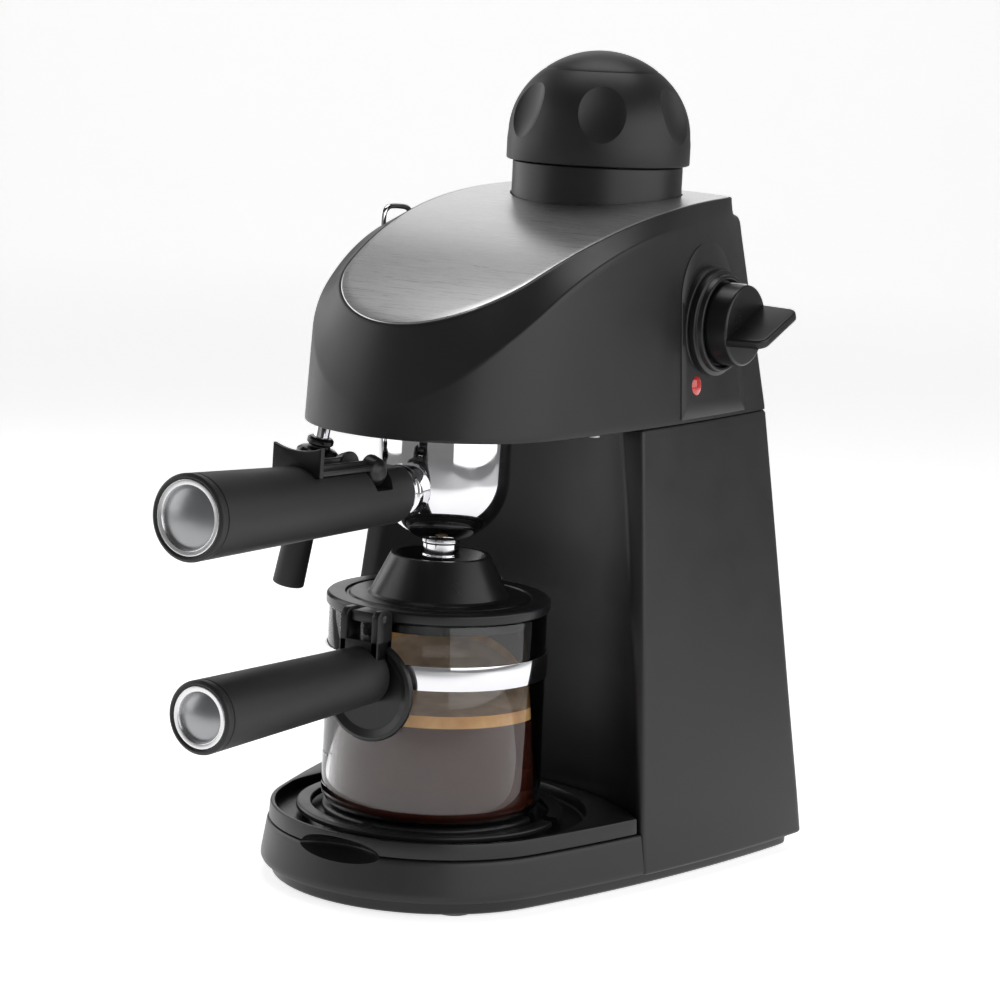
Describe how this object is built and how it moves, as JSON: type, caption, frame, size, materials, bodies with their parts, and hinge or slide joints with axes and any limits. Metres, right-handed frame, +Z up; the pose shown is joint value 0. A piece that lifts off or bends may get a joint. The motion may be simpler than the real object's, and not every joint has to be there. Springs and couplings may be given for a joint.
{
  "type": "espresso machine",
  "caption": "Countertop steam espresso machine with screw-capped boiler, bayonet portafilter, steam wand, side knob, and glass carafe on a sliding drip tray.",
  "frame": {"origin": "under the middle of the machine's whole bounding box, on the surface that its feet stand on", "axes": "+Z up, -Y towards the user and along both handles, +X towards the side with the steam knob"},
  "size_m": [0.1816, 0.3064, 0.32],
  "materials": {
    "black_plastic": "fine satin moulding",
    "dark_plastic": "satin moulding",
    "grip_plastic": "soft matt moulding",
    "rubber": "matt",
    "seal_rubber": "matt silicone",
    "brushed_steel": "brushed across",
    "chrome": "polished",
    "satin_metal": "satin",
    "screw_steel": "bright plating",
    "cast_aluminium": "cast",
    "brass": "drawn",
    "white_plastic": "matt",
    "red_lens": "clear red, polished",
    "clear_glass": "polished"
  },
  "bodies": {
    "housing": {"body_shell": "black_plastic", "bottom_cover": "dark_plastic", "rubber_feet": "rubber", "cover_screws": "screw_steel", "head_shell": "black_plastic", "under_panel": "dark_plastic", "panel_screws": "screw_steel", "top_plate": "brushed_steel", "neck_collar": "black_plastic", "boiler_base": "cast_aluminium", "boiler_top": "cast_aluminium", "boiler_gasket": "seal_rubber", "boiler_screws": "screw_steel", "heating_element": "cast_aluminium", "thermostat": "white_plastic", "steam_valve_body": "brass", "brew_pipe": "brass", "steam_pipe": "brass", "group_head": "cast_aluminium", "group_gasket": "seal_rubber", "shower_screen": "screw_steel", "screen_screw": "screw_steel", "knob_flange": "black_plastic", "indicator_lamp": "red_lens", "cord_gland": "dark_plastic", "terminal_block": "white_plastic", "wire_bail": "chrome", "wand_socket": "cast_aluminium"},
    "cap_plug": {"cap_plug": "cast_aluminium", "cap_seal": "seal_rubber", "relief_spring": "screw_steel"},
    "cap_dome": {"cap_dome": "black_plastic"},
    "relief_valve": {"relief_valve": "screw_steel"},
    "steam_knob": {"steam_knob": "black_plastic", "valve_stem": "screw_steel", "knob_marker": "white_plastic"},
    "portafilter": {"portafilter_cup": "chrome", "spout_nozzle": "chrome", "handle_collar": "chrome", "portafilter_handle": "grip_plastic", "handle_ring": "chrome", "handle_cap": "satin_metal", "filter_basket": "screw_steel", "clip_pin": "screw_steel"},
    "filter_clip": {"filter_clip": "dark_plastic"},
    "steam_wand": {"steam_wand": "chrome", "wand_grip": "dark_plastic"},
    "froth_sleeve": {"froth_sleeve": "dark_plastic"},
    "drip_tray": {"drip_tray": "dark_plastic", "drip_grille": "dark_plastic"},
    "carafe": {"carafe_glass": "clear_glass", "carafe_band": "chrome", "handle_guard": "dark_plastic", "carafe_handle": "grip_plastic", "carafe_ring": "chrome", "carafe_cap": "satin_metal", "lid_bracket": "dark_plastic", "carafe_lid": "dark_plastic", "lid_pin": "screw_steel"}
  },
  "joints": [
    {"name": "cap_lift", "type": "slide", "parent": "housing", "child": "cap_plug", "axis": [0, 0, 1], "range_m": [0, 0.0081]},
    {"name": "cap_turn", "type": "hinge", "parent": "cap_plug", "child": "cap_dome", "pos_m": [0, 0.1105, 0.29], "axis": [0, 0, 1], "range_deg": [0, 720]},
    {"name": "relief_lift", "type": "slide", "parent": "cap_plug", "child": "relief_valve", "axis": [0, 0, 1], "range_m": [0, 0.002], "stiffness_N_per_m": 800, "springref_m": -0.002, "deforming": ["relief_spring"]},
    {"name": "knob_turn", "type": "hinge", "parent": "housing", "child": "steam_knob", "pos_m": [0.0608, 0.1052, 0.2165], "axis": [1, 0, 0], "range_deg": [-90, 90]},
    {"name": "portafilter_turn", "type": "hinge", "parent": "housing", "child": "portafilter", "pos_m": [0, 0.0082, 0.16], "axis": [0, 0, -1], "range_deg": [0, 38]},
    {"name": "clip_flip", "type": "hinge", "parent": "portafilter", "child": "filter_clip", "pos_m": [0, -0.0488, 0.166], "axis": [-1, 0, 0], "range_deg": [0, 70]},
    {"name": "wand_swivel", "type": "hinge", "parent": "housing", "child": "steam_wand", "pos_m": [-0.043, -0.01, 0.184], "axis": [0, 0, 1], "range_deg": [-60, 30]},
    {"name": "sleeve_pull", "type": "slide", "parent": "steam_wand", "child": "froth_sleeve", "axis": [-0.1858, -0.0506, -0.9813], "range_m": [0, 0.03]},
    {"name": "tray_slide", "type": "slide", "parent": "housing", "child": "drip_tray", "axis": [0, -1, 0], "range_m": [0, 0.13]},
    {"name": "carafe_slide", "type": "slide", "parent": "drip_tray", "child": "carafe", "axis": [0, -1, 0], "range_m": [0, 0.12]}
  ],
  "couplings": [
    {"joint": "cap_lift", "follows": "cap_turn", "m_per_rad": 0.00063662}
  ]
}
